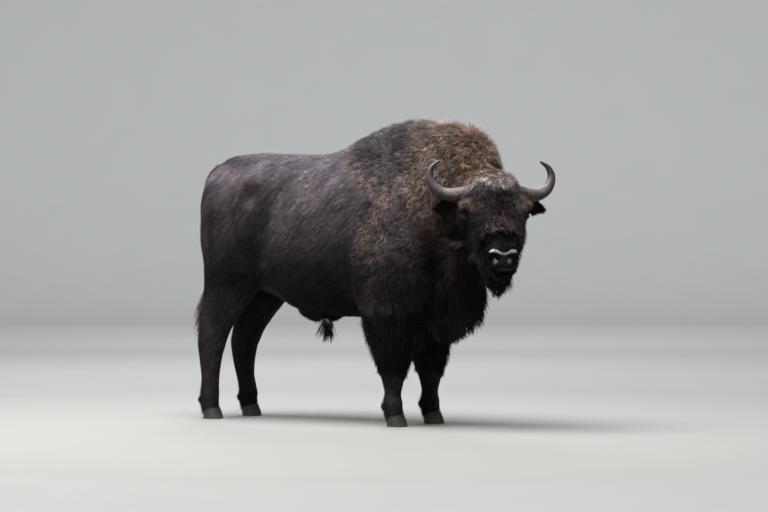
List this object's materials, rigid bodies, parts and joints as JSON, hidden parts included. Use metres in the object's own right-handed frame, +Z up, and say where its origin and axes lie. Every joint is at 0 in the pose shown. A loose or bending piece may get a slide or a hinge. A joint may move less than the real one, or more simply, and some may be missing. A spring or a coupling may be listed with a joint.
{
  "type": "wisent",
  "caption": "Life-size model of a standing wisent bull in its shaggy winter coat, with its head turned to its right.",
  "frame": {"origin": "the floor point under the middle of the animal's bounding box", "axes": "+X the way the body faces, +Y the animal's left, +Z up"},
  "size_m": [2.4186, 0.755, 1.7641],
  "materials": {
    "short_coat": "short, flat-lying, very dark brown coat with a dull sheen",
    "long_coat": "woolly chocolate-brown hair",
    "mane": "long, dark brown to black shaggy hair",
    "leg_coat": "short, close, brown-black hair",
    "horn": "satin grey-brown horn with dark tips",
    "hoof": "dull dark grey-brown hoof horn",
    "eye": "wet, nearly black"
  },
  "bodies": {
    "root": {"beard": "mane", "dewclaw_fore_left_inner": "hoof", "dewclaw_fore_left_outer": "hoof", "dewclaw_fore_right_inner": "hoof", "dewclaw_fore_right_outer": "hoof", "dewclaw_hind_left_inner": "hoof", "dewclaw_hind_left_outer": "hoof", "dewclaw_hind_right_inner": "hoof", "dewclaw_hind_right_outer": "hoof", "ear_left": "mane", "ear_right": "mane", "eye_left": "eye", "eye_right": "eye", "fore_cannon_left": "leg_coat", "fore_cannon_right": "leg_coat", "forearm_left": "long_coat", "forearm_right": "long_coat", "head": "mane", "hind_cannon_left": "leg_coat", "hind_cannon_right": "leg_coat", "hoof_fore_left_inner": "hoof", "hoof_fore_left_outer": "hoof", "hoof_fore_right_inner": "hoof", "hoof_fore_right_outer": "hoof", "hoof_hind_left_inner": "hoof", "hoof_hind_left_outer": "hoof", "hoof_hind_right_inner": "hoof", "hoof_hind_right_outer": "hoof", "horn_left": "horn", "horn_right": "horn", "neck": "long_coat", "sheath_tuft": "mane", "tail": "short_coat", "tail_tuft": "mane", "thigh_left": "short_coat", "thigh_right": "short_coat", "throat_mane": "mane", "trunk": "short_coat"}
  },
  "joints": []
}
